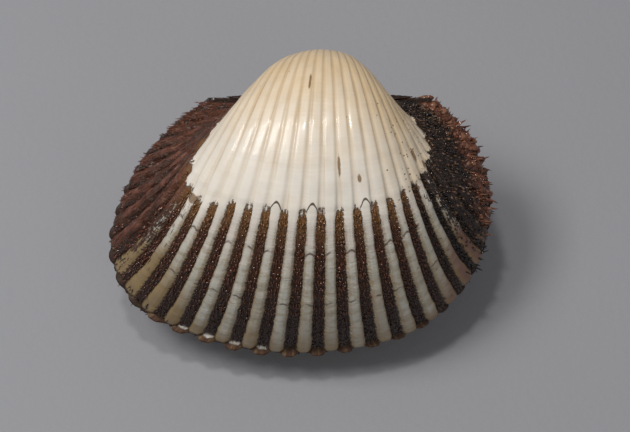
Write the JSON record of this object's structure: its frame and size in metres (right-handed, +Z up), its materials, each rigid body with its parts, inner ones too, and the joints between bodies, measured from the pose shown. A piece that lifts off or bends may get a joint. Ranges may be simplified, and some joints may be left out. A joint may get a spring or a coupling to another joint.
{
  "type": "ark clam shell",
  "caption": "Closed ribbed ark clam shell: two curved valves hinged along a straight toothed line, with a bristly brown skin.",
  "frame": {"origin": "on the worn flat that the closed shell rests on, under its left valve", "axes": "+Z up, +X along the hinge towards the clam's front end, +Y towards its back, where the umbones are"},
  "size_m": [0.0546, 0.0429, 0.0375],
  "materials": {
    "shell": "glossy creamy white limy shell, bare round the umbones, with brown bristly skin between the ribs and at the ends",
    "ligament": "dark brown horny band with fine chevron grooves, satin"
  },
  "bodies": {
    "left": {"left_valve": "shell", "ligament": "ligament"},
    "right": {"right_valve": "shell"}
  },
  "joints": [
    {"name": "valve_hinge", "type": "hinge", "parent": "left", "child": "right", "pos_m": [0.00284, 0.00908, 0.02322], "axis": [-1, 0, 0], "range_deg": [0, 22], "deforming": ["ligament"]}
  ]
}
